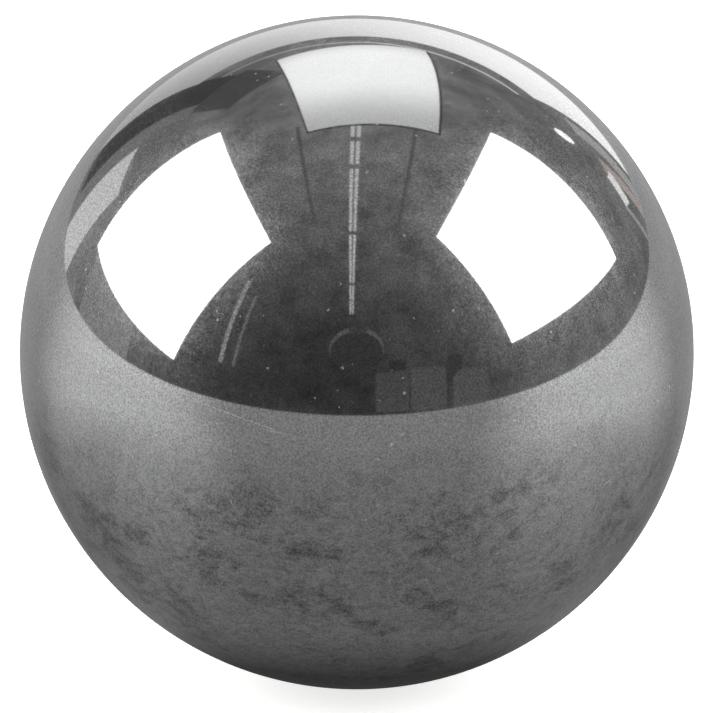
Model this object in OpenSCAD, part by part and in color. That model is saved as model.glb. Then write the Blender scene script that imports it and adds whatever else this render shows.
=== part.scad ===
// Steel ball: one solid sphere of hardened, ground and lapped bearing steel.
// The origin is the ball's centre, with +Z up.

/* [Ball] */
// Diameter of the ball, in millimetres
ball_d = 25.4; // [1:0.1:100]

/* [Preview] */
// Facets round the ball where it is drawn as a mesh
preview_facets = 128; // [32:16:256]

/* [Hidden] */

// The whole ball: solid through, with no bore, flat or seam
module ball() {
    color("silver")
        sphere(d = ball_d, $fn = preview_facets);
}

ball();
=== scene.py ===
"""A polished steel ball: its finish, and the small studio that it is looked at in.

The ball is one solid of hardened bearing steel, so there is one piece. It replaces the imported
model's coarser ball with a finer one of the same size, because a mirror shows every facet.
"""
import math

import bmesh
import bpy
from bpy.props import FloatProperty, FloatVectorProperty, PointerProperty
from bpy.types import Operator, Panel, PropertyGroup
from mathutils import Matrix, Quaternion, Vector


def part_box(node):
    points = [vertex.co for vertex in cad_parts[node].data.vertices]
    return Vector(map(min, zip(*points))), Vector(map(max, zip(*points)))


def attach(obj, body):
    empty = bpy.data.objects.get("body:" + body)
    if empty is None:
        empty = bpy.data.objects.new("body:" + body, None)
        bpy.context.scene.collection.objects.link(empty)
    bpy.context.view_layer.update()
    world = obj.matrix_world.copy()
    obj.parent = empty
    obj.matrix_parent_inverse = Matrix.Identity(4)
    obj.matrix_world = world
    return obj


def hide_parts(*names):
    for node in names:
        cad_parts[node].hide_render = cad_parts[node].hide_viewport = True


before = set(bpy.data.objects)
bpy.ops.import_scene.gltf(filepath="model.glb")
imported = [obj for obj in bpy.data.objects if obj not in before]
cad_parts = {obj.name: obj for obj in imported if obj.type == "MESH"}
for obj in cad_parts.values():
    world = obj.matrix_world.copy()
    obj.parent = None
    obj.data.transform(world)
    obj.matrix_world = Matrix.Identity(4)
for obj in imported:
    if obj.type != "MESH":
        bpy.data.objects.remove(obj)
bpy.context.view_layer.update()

bl_info = {
    "name": "Steel Ball",
    "version": (1, 0, 0),
    "blender": (4, 5, 0),
    "location": "View3D > Sidebar > Steel Ball",
    "description": "Makes a polished steel ball with dust, smudges and fine scratches",
    "category": "Add Mesh",
}

BALL_LOW, BALL_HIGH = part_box("ball")
BALL_RADIUS = (BALL_HIGH[2] - BALL_LOW[2]) / 2  # the frame's origin is the ball's centre
MM = 0.001  # metres in a millimetre


def direction(azimuth, elevation):
    """Unit vector from the ball: azimuth in degrees from the front towards the right."""
    a, e = math.radians(azimuth), math.radians(elevation)
    return Vector((math.sin(a) * math.cos(e), -math.cos(a) * math.cos(e), math.sin(e)))


def linear(hex_colour):
    """An sRGB hex colour as the linear red, green, blue and alpha that Blender works in."""
    values = [int(hex_colour[i : i + 2], 16) / 255 for i in (1, 3, 5)]
    return [v / 12.92 if v <= 0.04045 else ((v + 0.055) / 1.055) ** 2.4 for v in values] + [1.0]


def add_node(tree, kind, inputs=None, stops=(), **settings):
    """Adds a shader node, and returns it.

    Each input is a node or a socket to link from, or a value to set. The stops of a colour ramp
    are greys: each is a place from 0 to 1, and the tone there.
    """
    node = tree.nodes.new("ShaderNode" + kind)
    for name, value in settings.items():
        setattr(node, name, value)
    for name, value in (inputs or {}).items():
        if isinstance(value, bpy.types.Node):
            value = next(socket for socket in value.outputs if socket.enabled)
        if isinstance(value, bpy.types.NodeSocket):
            tree.links.new(value, node.inputs[name])
        else:
            node.inputs[name].default_value = value
    if stops:
        elements = node.color_ramp.elements
        elements.remove(elements[1])
        elements[0].position = stops[0][0]
        for place, _ in stops[1:]:
            elements.new(place)
        for element, (_, tone) in zip(elements, stops):
            element.color = (tone, tone, tone, 1.0)
    return node


def new_material(name):
    """A material with no nodes yet, and its node tree."""
    material = bpy.data.materials.new(name)
    material.use_nodes = True
    material.node_tree.nodes.clear()
    return material, material.node_tree


def finish_mesh(bm, name, material, smooth=True):
    """Turns a bmesh into a linked object that wears one material."""
    mesh = bpy.data.meshes.new(name)
    bm.to_mesh(mesh)
    bm.free()
    mesh.materials.append(material)
    mesh.polygons.foreach_set("use_smooth", [smooth] * len(mesh.polygons))
    piece = bpy.data.objects.new(name, mesh)
    bpy.context.scene.collection.objects.link(piece)
    return piece


# The ball ---------------------------------------------------------------------------------------


# Sizes on the surface, in millimetres.
GRAIN = 0.07  # width of the lapping grain
MOTTLE = 0.3  # width of the film's finest spots
PATCH = 1.1  # width of its ragged patches
CROWD = 3.4  # width of the areas where the patches crowd together
HAZE_CLOUD = 2.4  # width of the dry haze's clouds
HAZE_MARK = 0.22  # width of the marks in them
DUST_CELL = 0.45  # spacing of the dust
DUST_SPECK = 0.075  # reach of its largest speck
SCRATCH = 0.035  # reach of a hairline to each side
CLEAN_CROWN = (9.2, 10.8)  # heights above the ball's middle that the clean crown starts between
FILMED_SIDE = (1.0, -4.5)  # heights that the film on the lower half thickens between

# Where the film has gathered into smudges: degrees round from the front and up, on the ball, and
# the width and height of each in millimetres.
SMUDGES = (
    (-19, -5, 1.4, 0.9),
    (-1, -7, 1.4, 0.6),
    (4, -8, 1.2, 0.8),
    (32, -6, 1.2, 0.9),
    (-32, -9, 0.6, 0.4),
    (-8, -11, 0.8, 0.8),
    (25, -12, 1.0, 1.0),
    (-16, -14, 2.2, 0.5),
    (22, -15, 1.0, 0.8),
    (16, -18, 2.0, 1.0),
    (-7, -21, 3.2, 1.2),
    (-44, -22, 2.0, 1.6),
    (-29, -29, 1.8, 0.9),
    (29, -30, 1.2, 1.0),
    (-20, -32, 1.8, 0.9),
    (-3, -34, 1.8, 0.8),
    (2, -38, 1.4, 0.8),
    (7, -40, 1.0, 0.8),
    (-66, -12, 2.0, 2.6),
    (-57, -20, 2.0, 2.2),
    (-51, -31, 2.4, 2.2),
    (44, -31, 2.2, 2.2),
    (55, -21, 2.2, 2.2),
    (61, -14, 1.4, 2.4),
    (22, -54, 3.0, 1.6),
    (110, -25, 3.5, 1.8),
    (165, -18, 3.0, 1.2),
    (-140, -30, 3.0, 2.0),
)

# Hairline scratches: where the middle of each is, in the same degrees, its lean in degrees, and
# its length in millimetres.
SCRATCHES = (
    (-20, 2.5, -15, 3.4),
    (-14, 0.5, -8, 1.2),
    (49, -13, 23, 0.9),
    (28, 31, 20, 1.6),
    (-120, 8, 40, 2.2),
    (150, 24, -20, 1.8),
)


class SteelBallFinish(PropertyGroup):
    """What the ball's surface looks like"""

    steel: FloatVectorProperty(
        name="Steel",
        description="Colour of the clean polished steel",
        subtype="COLOR",
        size=4,
        default=linear("#D4D5D5"),
    )
    film: FloatVectorProperty(
        name="Film",
        description="Colour of the steel where the handling film on it is thickest",
        subtype="COLOR",
        size=4,
        default=linear("#6E6E6D"),
    )
    polish: FloatProperty(
        name="Polish",
        description="Roughness of the clean lapped surface",
        default=0.045,
        min=0.0,
        max=1.0,
    )


def steel_surface(finish):
    """Hardened chrome bearing steel, ground and then lapped to a mirror.

    The lapping leaves a mirror with a very fine grain in it. Handling and standing on a bench add
    a thin film that dulls it in patches, dry dust, and a few hairlines.
    """
    material, tree = new_material("lapped_bearing_steel")
    place = add_node(tree, "TexCoord").outputs["Object"]
    mm = add_node(tree, "VectorMath", {0: place, 1: [1 / MM] * 3}, operation="MULTIPLY")
    height = add_node(tree, "SeparateXYZ", {"Vector": mm}).outputs["Z"]
    under = add_node(tree, "MapRange", {
        "Value": height, "From Min": FILMED_SIDE[0], "From Max": FILMED_SIDE[1],
    }, interpolation_type="SMOOTHSTEP")

    # Lapping grain, really a few microns across: 0.07 mm is as fine as a close view can show.
    # The crown is wiped cleaner than the rest.
    grain = add_node(tree, "TexNoise", {"Vector": mm, "Scale": 1 / GRAIN, "Detail": 1.0})
    grain = add_node(tree, "MapRange", {"Value": grain, "From Min": 0.3, "From Max": 0.7})
    crown = add_node(tree, "MapRange", {
        "Value": height, "From Min": CLEAN_CROWN[0], "From Max": CLEAN_CROWN[1], "To Max": 0.85,
    }, interpolation_type="SMOOTHSTEP")
    grain = add_node(tree, "Mix", {"Factor": crown, "A": grain, "B": [0.5] * 4}, data_type="RGBA")
    grain = add_node(tree, "Math", {0: grain, 1: 0.62}, operation="MULTIPLY")

    # The film lies in ragged patches, drawn out a little where the ball has been rolled and wiped,
    # and they crowd together where a finger or the bench has left a smudge.
    wiped = add_node(tree, "Mapping", {"Vector": mm, "Scale": (0.7, 0.75, 1.0)})
    mottle = add_node(tree, "TexNoise", {
        "Vector": wiped, "Scale": 1 / MOTTLE, "Detail": 5.0, "Roughness": 0.75, "Distortion": 0.6,
    })
    mottle = add_node(tree, "MapRange", {
        "Value": mottle, "From Min": 0.3, "From Max": 0.7, "To Min": -0.5, "To Max": 0.5,
    })
    crowding = add_node(tree, "TexNoise", {"Vector": mm, "Scale": 1 / CROWD, "Detail": 2.0})
    crowding = add_node(tree, "MapRange", {
        "Value": crowding, "From Min": 0.35, "From Max": 0.65,
    }, interpolation_type="SMOOTHSTEP")
    for azimuth, elevation, width, tall in SMUDGES:
        middle = direction(azimuth, elevation) * BALL_RADIUS / MM
        shares = (2 / width, 2 / width, 2 / tall)
        offset = add_node(tree, "VectorMath", {0: mm, 1: middle}, operation="SUBTRACT")
        offset = add_node(tree, "VectorMath", {0: offset, 1: shares}, operation="MULTIPLY")
        away = add_node(tree, "VectorMath", {0: offset}, operation="LENGTH")
        smudge = add_node(tree, "MapRange", {
            "Value": away, "From Min": 1.4, "From Max": 0.3, "To Max": 1.5,
        }, interpolation_type="SMOOTHSTEP")
        crowding = add_node(tree, "Math", {0: crowding, 1: smudge}, operation="MAXIMUM")
    patches = add_node(tree, "TexNoise", {
        "Vector": wiped, "Scale": 1 / PATCH, "Detail": 7.0, "Roughness": 0.75, "Distortion": 0.5,
    })
    patches = add_node(tree, "Math", {0: crowding, 1: 0.12, 2: patches}, operation="MULTIPLY_ADD")
    smears = add_node(tree, "MapRange", {
        "Value": patches, "From Min": 0.55, "From Max": 0.74,
    }, interpolation_type="SMOOTHSTEP")
    smears = add_node(tree, "Math", {0: smears, 1: 0.45}, operation="MULTIPLY")
    film = add_node(tree, "Math", {0: mottle, 1: 0.65, 2: smears}, operation="MULTIPLY_ADD")
    film = add_node(tree, "Math", {0: film, 1: under, 2: grain}, operation="MULTIPLY_ADD")

    # A dry haze of finer marks stands in thin clouds, and glows round what shines in the mirror.
    clouds = add_node(tree, "TexNoise", {
        "Vector": mm, "Scale": 1 / HAZE_CLOUD, "Detail": 5.0, "Roughness": 0.7, "Distortion": 0.6,
    })
    clouds = add_node(tree, "MapRange", {
        "Value": clouds, "From Min": 0.35, "From Max": 0.65, "To Min": 0.6,
    }, interpolation_type="SMOOTHSTEP")
    marks = add_node(tree, "TexNoise", {
        "Vector": mm, "Scale": 1 / HAZE_MARK, "Detail": 3.0, "Roughness": 0.75,
    })
    marks = add_node(tree, "MapRange", {
        "Value": marks, "From Min": 0.38, "From Max": 0.66, "To Min": 0.3, "To Max": 0.85,
    }, interpolation_type="SMOOTHSTEP")

    # Dust: one speck in most cells of a fine lattice, each with its own size, and fewer below.
    ragged = add_node(tree, "TexNoise", {"Vector": mm, "Scale": 12.0, "Detail": 1.0}).outputs["Color"]
    shifted = add_node(tree, "VectorMath", {0: ragged, 1: [0.12] * 3, 2: mm}, operation="MULTIPLY_ADD")
    cell = add_node(tree, "TexVoronoi", {
        "Vector": shifted, "Scale": 1 / DUST_CELL, "Randomness": 1.0,
    })
    chance = add_node(tree, "SeparateColor", {"Color": cell.outputs["Color"]}).outputs["Red"]
    reach = add_node(tree, "MapRange", {
        "Value": chance, "From Min": 0.2, "To Max": DUST_SPECK / DUST_CELL,
    })
    dust = add_node(tree, "Math", {0: reach, 1: cell.outputs["Distance"]}, operation="SUBTRACT")
    dust = add_node(tree, "MapRange", {
        "Value": dust, "From Max": 0.05,
    }, interpolation_type="SMOOTHSTEP")
    shown = add_node(tree, "Math", {0: under, 1: -0.75, 2: 1.0}, operation="MULTIPLY_ADD")
    dust = add_node(tree, "Math", {0: dust, 1: shown}, operation="MULTIPLY")

    # Each hairline runs along the ball, so it is where three slices of the ball cross: a thin one
    # on its line, one as long as it is, and one that leaves out the far side. A slice has the axis
    # that it is cut across, how far out its middle is, and where it ends and is full, in mm.
    for azimuth, elevation, lean, length in SCRATCHES:
        middle = direction(azimuth, elevation)
        along = Quaternion(middle, math.radians(lean)) @ Vector((0, 0, 1)).cross(middle).normalized()
        line = 0.8
        for axis, out, end, full in (
            (middle.cross(along), 0.0, SCRATCH, 0.005),
            (along, 0.0, length / 2, length / 2 - 0.4),
            (middle, BALL_RADIUS / MM, 1.0, 0.9),
        ):
            off = add_node(tree, "VectorMath", {0: mm, 1: axis}, operation="DOT_PRODUCT")
            off = add_node(tree, "Math", {0: off, 1: out}, operation="SUBTRACT")
            off = add_node(tree, "Math", {0: off}, operation="ABSOLUTE")
            inside = add_node(tree, "MapRange", {
                "Value": off, "From Min": end, "From Max": full,
            }, interpolation_type="SMOOTHSTEP")
            line = add_node(tree, "Math", {0: line, 1: inside}, operation="MULTIPLY")
        dust = add_node(tree, "Math", {0: dust, 1: line}, operation="MAXIMUM")

    colour = add_node(tree, "Mix", {
        "Factor": film, "A": list(finish.steel), "B": list(finish.film),
    }, data_type="RGBA")
    bare = add_node(tree, "Math", {0: dust, 1: -0.24, 2: 1.0}, operation="MULTIPLY_ADD")
    rough = add_node(tree, "Math", {0: dust, 1: 0.08, 2: finish.polish}, operation="MULTIPLY_ADD")
    steel = add_node(tree, "BsdfPrincipled", {
        "Base Color": colour,
        "Metallic": bare,
        "Roughness": rough,
        "Coat Weight": add_node(tree, "Math", {0: clouds, 1: marks}, operation="MULTIPLY"),
        "Coat Roughness": 0.28,
        "Coat IOR": 2.1,
    })
    add_node(tree, "OutputMaterial", {"Surface": steel})
    return material


class OBJECT_OT_steel_ball(Operator):
    """Make the ball, smooth enough to carry a mirror finish"""

    bl_idname = "object.steel_ball"
    bl_label = "Steel Ball"

    def execute(self, context):
        bm = bmesh.new()
        bmesh.ops.create_icosphere(bm, subdivisions=7, radius=BALL_RADIUS)
        ball = finish_mesh(bm, "polished_ball", steel_surface(context.scene.steel_ball_finish))
        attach(ball, "root")
        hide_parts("ball")
        return {"FINISHED"}


# The studio -------------------------------------------------------------------------------------

# Each softbox: where its middle is seen from the ball (degrees round from the front, degrees up),
# the way it faces back (the same two angles), its roll in degrees, its size in metres, and its
# strength. Where it fades, its light is full as far as near from centre, and falls to edge of its
# strength at far, all as shares of its size.
SOFTBOXES = {
    "left_softbox": {"at": (-90, 34.5), "faces": (-69, 29), "roll": 17.5,
                     "size": (0.545, 0.43), "strength": 4.0},
    "right_softbox": {"at": (82, 38), "faces": (81, 26), "roll": -4,
                      "size": (0.54, 0.42), "strength": 4.0},
    "overhead_softbox": {"at": (179, 56), "faces": (119, 78), "roll": 24,
                         "size": (0.465, 0.265), "strength": 1.6,
                         "fade": {"centre": (-0.1, 0.0), "near": 0.2, "far": 0.6, "edge": 0.5}},
}
SOFTBOX_DISTANCE = 0.51
SOFTBOX_EDGE = 0.006  # width of the black edge round each softbox
SOFTBOX_GAP = 0.004  # how far the black lies behind the light
CEILING = 1.5  # height of the lamps above the ball
WALLS = 1.3  # distance of the first board
BOARD_STEP = 0.01  # how much farther out the next one is
SWEEP = 0.65  # how far the grey sheet reaches to the sides and back
SHEET_FRONT = -0.118  # where the sheet ends in front of the ball
SHEET_FLAT = 0.15  # how far from the ball the sheet starts to rise
SHEET_SLOPE = 0.123  # how steeply its far edge rises towards the back
SHEET_FADE = 0.25  # how far from the ball the sheet's painted light and shade run
LENS_LENGTH = 444.4  # of the camera, in millimetres on a sensor 36 mm wide

# Boards and small lamps round the walls: where the ball sees the middle of each, how wide and high it
# looks, all in degrees, its lean in degrees, its brightness, which is painted light except on the
# lamps, and a tint if it has one.
BOARDS = {
    "pale_screen": ((-132, 14.5), (13, 20), 9, 0.85),
    "screen_top": ((-131, 33), (14, 14), -4, 0.2),
    "screen_side": ((-141, 15), (7, 30), 3, 0.24),
    "dark_gap": ((-150, 23), (10, 31), 0, 0.06),
    # A patch of painted shade up in a corner of the room.
    "painted_shade_corner": ((-149, 43), (15, 12), 0, 0.09),
    "left_board": ((-98, 6), (28, 14), 0, 0.3),
    "left_post": ((-45.5, 20), (1.4, 27), 7, 0.42),
    "left_post_edge": ((-40.8, 17.5), (0.9, 23), 8, 0.24),
    "dark_box": ((13.8, 9.2), (5.4, 3.3), 0, 0.045),
    "far_board_left": ((11.8, 0.5), (11, 13), 0, 0.1),
    "far_board_middle": ((24, 1), (12, 14), 0, 0.12),
    "far_board_right": ((38.5, 0), (12.5, 12), 0, 0.13),
    "dark_board": ((33, 6), (5, 10), 10, 0.055),
    "bench_lamp": ((138, 13.8), (4, 5.2), 25, 1.2),
    "right_post": ((136, 9), (1.3, 8), -20, 0.5),
    "right_post_edge": ((128.5, 10.5), (0.8, 6), -8, 0.33),
    "right_board": ((142.5, 10.5), (3, 14), -15, 0.62, "#F4E4DD"),
    "right_screen": ((147.3, 12.5), (4, 17), 0, 0.5),
}
# The same for what is round or oval.
ROUND_BOARDS = {
    "wall_lamp": ((139.5, 27), (2.6, 4.8), 0, 2.0),
    "lens_top": ((0.5, 21.6), (6.5, 2.6), 0, 0.075),
    "lens": ((0, 14), (17.5, 13.5), 0, 0.055),
    "lens_rim": ((0, 15), (18.2, 14.6), 0, 0.16),
}


class SteelBallStudio(PropertyGroup):
    """The camera, the lights and what the ball stands on"""

    elevation: FloatProperty(
        name="Camera elevation",
        description="Height of the camera above the horizon, as an angle",
        subtype="ANGLE",
        default=math.radians(14),
    )
    distance: FloatProperty(
        name="Camera distance",
        description="From the ball's centre to the camera",
        subtype="DISTANCE",
        unit="LENGTH",
        default=0.335,
    )


def seen_by(thing, camera=True, mirror=True, shade=True):
    """Which rays meet a stage object: the camera's, those off the mirror, and the light's."""
    thing.visible_camera = camera
    thing.visible_glossy = mirror
    thing.visible_diffuse = shade
    thing.visible_shadow = shade
    thing.visible_transmission = mirror


def glow_material(name, strength, centre=(0.0, 0.0), near=0.0, far=1.0, edge=1.0, tint="#FFFFFF"):
    """A panel's light, which falls to edge of its strength between near and far from centre."""
    material, tree = new_material(name)
    place = add_node(tree, "TexCoord").outputs["Object"]
    offset = add_node(tree, "VectorMath", {0: place, 1: (*centre, 0)}, operation="SUBTRACT")
    offset = add_node(tree, "VectorMath", {0: offset, 1: (1, 0.3, 0)}, operation="MULTIPLY")
    light = add_node(tree, "MapRange", {
        "Value": add_node(tree, "VectorMath", {0: offset}, operation="LENGTH"),
        "From Min": near,
        "From Max": far,
        "To Min": strength,
        "To Max": strength * edge,
    }, interpolation_type="SMOOTHSTEP")
    glow = add_node(tree, "Emission", {"Color": linear(tint), "Strength": light})
    add_node(tree, "OutputMaterial", {"Surface": glow})
    return material


def plain(name, hex_colour, glow=0.0):
    """A matt stage colour, with some light of its own."""
    material, tree = new_material(name)
    shader = add_node(tree, "BsdfPrincipled", {
        "Base Color": linear(hex_colour),
        "Roughness": 1.0,
        "Emission Color": linear(hex_colour),
        "Emission Strength": glow,
    })
    add_node(tree, "OutputMaterial", {"Surface": shader})
    return material


def flat_panel(name, turn, size, material, shade=False, rounded=False):
    """A rectangle or an oval, placed and sized by its object, that the camera doesn't see."""
    bm = bmesh.new()
    if rounded:
        bmesh.ops.create_circle(bm, cap_ends=True, segments=64, radius=0.5)
    else:
        bmesh.ops.create_grid(bm, x_segments=1, y_segments=1, size=0.5)
    panel = finish_mesh(bm, name, material, smooth=False)
    panel.matrix_world = turn @ Matrix.Diagonal((*size, 1, 1))
    seen_by(panel, camera=False, shade=shade)


def aimed(at, faces, roll, distance):
    """Where a panel goes that the ball sees in one direction, and that faces back along another."""
    facing = -direction(*faces)
    across = Vector((0, 0, 1)).cross(facing).normalized()
    turn = Matrix((across, facing.cross(across), facing)).transposed().to_4x4()
    turn = Matrix.Translation(direction(*at) * distance) @ turn
    return turn @ Matrix.Rotation(math.radians(roll), 4, "Z")


def make_softbox(name, at, faces, roll, size, strength, fade=None):
    """A lit panel in a thin black edge, which shows only in what reflects it."""
    turn = aimed(at, faces, roll, SOFTBOX_DISTANCE)
    flat_panel(name, turn, size, glow_material(name, strength, **(fade or {})), shade=True)
    outside = [length + 2 * SOFTBOX_EDGE for length in size]
    behind = turn @ Matrix.Translation((0, 0, -SOFTBOX_GAP))
    flat_panel(name + "_edge", behind, outside, plain(name + "_edge", "#0C0C0C"), shade=True)


def make_floor():
    """The pale floor, which the camera sees and the ball doesn't mirror."""
    bm = bmesh.new()
    bmesh.ops.create_grid(bm, x_segments=1, y_segments=1, size=3.0)
    bmesh.ops.translate(bm, vec=(0, 0, BALL_LOW[2]), verts=bm.verts)
    floor = finish_mesh(bm, "floor", plain("pale_floor", "#F4F4F2", glow=0.85), smooth=False)
    seen_by(floor, mirror=False)
    floor.visible_shadow = False


def make_sheet():
    """The grey sheet that the ball mirrors, which is no lamp but glows with painted light from both
    sides and painted shade close to the ball.

    Its brightness is drawn by where a point lies on it, as a share of SHEET_FADE from the ball,
    and by how far round to the side that is.
    """
    material, tree = new_material("grey_sheet_painted_light")
    place = add_node(tree, "TexCoord").outputs["Object"]
    level = add_node(tree, "VectorMath", {0: place, 1: (1, 1, 0)}, operation="MULTIPLY")
    away = add_node(tree, "VectorMath", {0: level}, operation="LENGTH")
    share = add_node(tree, "Math", {0: away, 1: SHEET_FADE}, operation="DIVIDE")
    outward = add_node(tree, "VectorMath", {0: level}, operation="NORMALIZE")
    outward = add_node(tree, "SeparateXYZ", {"Vector": outward})
    backward = outward.outputs["Y"]
    sideways = add_node(tree, "Math", {0: outward.outputs["X"]}, operation="ABSOLUTE")

    # Painted shade all round, from a dark spot painted where the ball stands to the open sheet.
    painted_shade = add_node(tree, "ValToRGB", {"Fac": share}, stops=(
        (0.02, 0.045), (0.035, 0.18), (0.08, 0.23), (0.2, 0.32), (1.0, 0.4),
    ))

    # Painted light of the softboxes, raking in at both sides, and a little from the front close to the
    # ball.
    turn = add_node(tree, "MapRange", {
        "Value": away, "From Min": 0.025, "From Max": 0.08, "To Min": -0.25, "To Max": -0.08,
    })
    beside = add_node(tree, "Math", {0: backward, 1: turn, 2: sideways}, operation="MULTIPLY_ADD")
    beside = add_node(tree, "MapRange", {
        "Value": beside, "From Min": 0.68,
    }, interpolation_type="SMOOTHSTEP")
    painted_raking_light = add_node(tree, "ValToRGB", {"Fac": share}, stops=(
        (0.03, 0.0), (0.06, 0.06), (0.11, 0.16), (0.25, 0.41), (1.0, 0.45),
    ))
    light = add_node(tree, "Math", {0: beside, 1: painted_raking_light, 2: painted_shade}, operation="MULTIPLY_ADD")

    # A painted shadow of the ball, soft, at both sides and a little towards the back.
    corner = add_node(tree, "Math", {0: backward, 1: 0.3, 2: sideways}, operation="MULTIPLY_ADD")
    corner = add_node(tree, "MapRange", {
        "Value": corner, "From Min": 0.85,
    }, interpolation_type="SMOOTHSTEP")
    painted_shadow = add_node(tree, "ValToRGB", {"Fac": share}, stops=(
        (0.035, 0.0), (0.065, 0.23), (0.12, 0.18), (0.2, 0.0),
    ))
    painted_shadow = add_node(tree, "Math", {0: painted_shadow, 1: corner}, operation="MULTIPLY")
    hidden = add_node(tree, "Math", {0: light, 1: painted_shadow}, operation="MULTIPLY")
    light = add_node(tree, "Math", {0: light, 1: hidden}, operation="SUBTRACT")
    # The sheet's glow is this painted light and shade, not light that falls on it.
    glow = add_node(tree, "Emission", {"Strength": light})
    add_node(tree, "OutputMaterial", {"Surface": glow})

    bm = bmesh.new()
    bmesh.ops.create_grid(bm, x_segments=64, y_segments=64, size=0.5)
    side = 1.2 * SWEEP
    for vert in bm.verts:
        x = vert.co.x * 2 * side
        y = SHEET_FRONT + (vert.co.y + 0.5) * (side - SHEET_FRONT)
        share = min(1.0, max(0.0, math.hypot(x, y) - SHEET_FLAT) / (SWEEP - SHEET_FLAT)) ** 2
        rise = share * max(0.0, BALL_RADIUS + SHEET_SLOPE * y)
        vert.co = (x, y, BALL_LOW[2] + rise)
    sheet = finish_mesh(bm, "grey_sheet_painted_light", material)
    seen_by(sheet, camera=False, shade=False)


def make_backdrop():
    """The white panel behind the ball, and the bar that it hangs from, which are no lamps but glow
    with painted light.
    """
    # Painted light, strongest near the right end of each and falling to 0.4 of that towards the left.
    fade = {"centre": (0.45, 0.0), "near": 0.1, "far": 1.0, "edge": 0.4}
    upright = Matrix.Rotation(math.radians(90), 4, "X")
    for name, middle, size, strength in (
        ("white_panel", (0.026, 0.62, 0.2), (0.636, 0.31), 1.45),
        ("crossbar", (0.04, 0.62, 0.438), (0.64, 0.014), 1.0),
    ):
        turn = Matrix.Translation(middle) @ upright
        flat_panel(name, turn, size, glow_material(name, strength, **fade))


def make_ceiling():
    """A line of twin tubes that runs forwards over the ball, between two dark beams, which are no
    lamps but glow faintly with painted light.
    """
    ends = (0.20, 0.02, -0.28, -1.07, -2.0, -3.0)  # of the tubes, from behind the ball forwards
    downwards = Matrix.Rotation(math.pi, 4, "X")
    askew = Matrix.Rotation(math.radians(-1.7), 4, "Z")
    tube = glow_material("tube", 0.8)
    beam = glow_material("beam", 0.12)
    for number, (back, front) in enumerate(zip(ends, ends[1:])):
        for side in (-1, 1):
            middle = (side * 0.021 - 0.01, (back + front) / 2, CEILING)
            turn = askew @ Matrix.Translation(middle) @ downwards
            name = "tube_%d_%s" % (number, "left" if side < 0 else "right")
            flat_panel(name, turn, (0.026, back - front - 0.05), tube)
    # The beams' faint glow is painted light.
    for name, side in (("beam_left", -1), ("beam_right", 1)):
        turn = Matrix.Translation((side * 0.4, -0.35, CEILING)) @ downwards
        flat_panel(name, turn, (0.03, 1.2), beam)


def make_boards():
    """Boards and small lamps round the walls, and the dark front of the camera's lens. Apart from the
    lamps, each glows with painted light.
    """
    depth = WALLS
    for boards, rounded in ((BOARDS, False), (ROUND_BOARDS, True)):
        for name, (at, spread, lean, strength, *tint) in boards.items():
            size = [2 * depth * math.tan(math.radians(angle / 2)) for angle in spread]
            turn = aimed(at, at, lean, depth)
            glow = glow_material(name, strength, tint=tint[0] if tint else "#FFFFFF")
            flat_panel(name, turn, size, glow, rounded=rounded)
            depth += BOARD_STEP


def make_room():
    """Dark walls and ceiling for the ball to mirror, and the same pale white for the camera."""
    world = bpy.data.worlds.new("studio")
    bpy.context.scene.world = world
    world.use_nodes = True
    tree = world.node_tree
    tree.nodes.clear()
    camera = add_node(tree, "LightPath").outputs["Is Camera Ray"]
    pale = add_node(tree, "Background", {"Color": linear("#F4F4F2"), "Strength": 1.0})
    ray = add_node(tree, "TexCoord").outputs["Generated"]
    behind = add_node(tree, "VectorMath", {0: ray, 1: (0.2, 0.8, 0.35)}, operation="DOT_PRODUCT")
    behind = add_node(tree, "MapRange", {"Value": behind, "From Min": -1.0})
    tone = add_node(tree, "ValToRGB", {"Fac": behind}, stops=(
        (0.1, 0.045), (0.25, 0.09), (0.45, 0.17), (0.65, 0.23), (1.0, 0.18),
    ))
    uneven = add_node(tree, "TexNoise", {
        "Vector": ray, "Scale": 6.0, "Detail": 6.0, "Roughness": 0.7,
    })
    uneven = add_node(tree, "MapRange", {
        "Value": uneven, "From Min": 0.3, "From Max": 0.7, "To Min": 0.5, "To Max": 1.5,
    })
    dark = add_node(tree, "Background", {"Color": tone, "Strength": uneven})
    either = add_node(tree, "MixShader", {0: camera, 1: dark, 2: pale})
    add_node(tree, "OutputWorld", {"Surface": either})


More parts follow.
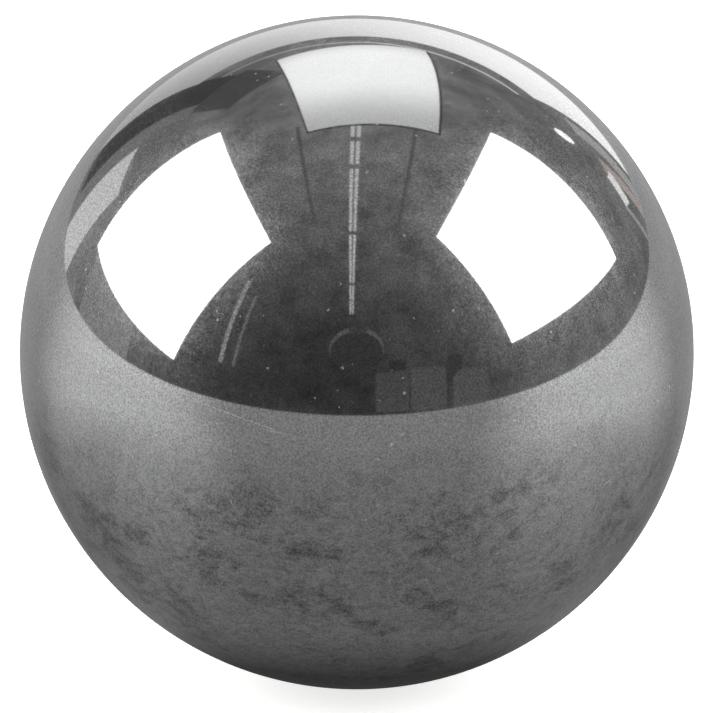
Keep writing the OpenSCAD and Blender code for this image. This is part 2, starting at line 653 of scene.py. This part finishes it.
def make_camera(studio):
    """A long lens that looks down at the ball, which nearly fills the picture."""
    data = bpy.data.cameras.new("camera")
    data.sensor_width = 36
    data.lens = LENS_LENGTH
    camera = bpy.data.objects.new("camera", data)
    bpy.context.scene.collection.objects.link(camera)
    back = direction(0, math.degrees(studio.elevation))
    turn = (-back).to_track_quat("-Z", "Y")
    aim = turn @ Vector((0.12 * MM, -0.16 * MM, 0))
    camera.location = aim + back * studio.distance
    camera.rotation_mode = "QUATERNION"
    camera.rotation_quaternion = turn
    data.clip_start, data.clip_end = 0.01, 10
    bpy.context.scene.camera = camera


class OBJECT_OT_steel_ball_studio(Operator):
    """Make the camera, the softboxes, the room and what the ball stands on"""

    bl_idname = "object.steel_ball_studio"
    bl_label = "Studio"

    def execute(self, context):
        studio = context.scene.steel_ball_studio
        make_camera(studio)
        make_room()
        make_floor()
        make_sheet()
        make_backdrop()
        make_ceiling()
        make_boards()
        for name, box in SOFTBOXES.items():
            make_softbox(name, **box)
        context.scene.view_settings.view_transform = "Standard"
        return {"FINISHED"}


class VIEW3D_PT_steel_ball(Panel):
    """Sidebar panel with the finish, the studio and their buttons"""

    bl_idname = "VIEW3D_PT_steel_ball"
    bl_label = "Steel Ball"
    bl_space_type = "VIEW_3D"
    bl_region_type = "UI"
    bl_category = "Steel Ball"

    def draw(self, context):
        layout = self.layout
        for group, button in (
            (context.scene.steel_ball_finish, OBJECT_OT_steel_ball),
            (context.scene.steel_ball_studio, OBJECT_OT_steel_ball_studio),
        ):
            for name in group.__annotations__:
                layout.prop(group, name)
            layout.operator(button.bl_idname)


CLASSES = (
    SteelBallFinish,
    SteelBallStudio,
    OBJECT_OT_steel_ball,
    OBJECT_OT_steel_ball_studio,
    VIEW3D_PT_steel_ball,
)


def register():
    for cls in CLASSES:
        bpy.utils.register_class(cls)
    bpy.types.Scene.steel_ball_finish = PointerProperty(type=SteelBallFinish)
    bpy.types.Scene.steel_ball_studio = PointerProperty(type=SteelBallStudio)


def unregister():
    del bpy.types.Scene.steel_ball_studio
    del bpy.types.Scene.steel_ball_finish
    for cls in reversed(CLASSES):
        bpy.utils.unregister_class(cls)


def main():
    register()
    bpy.ops.object.steel_ball_studio()
    bpy.ops.object.steel_ball()


if __name__ == "__main__":
    main()
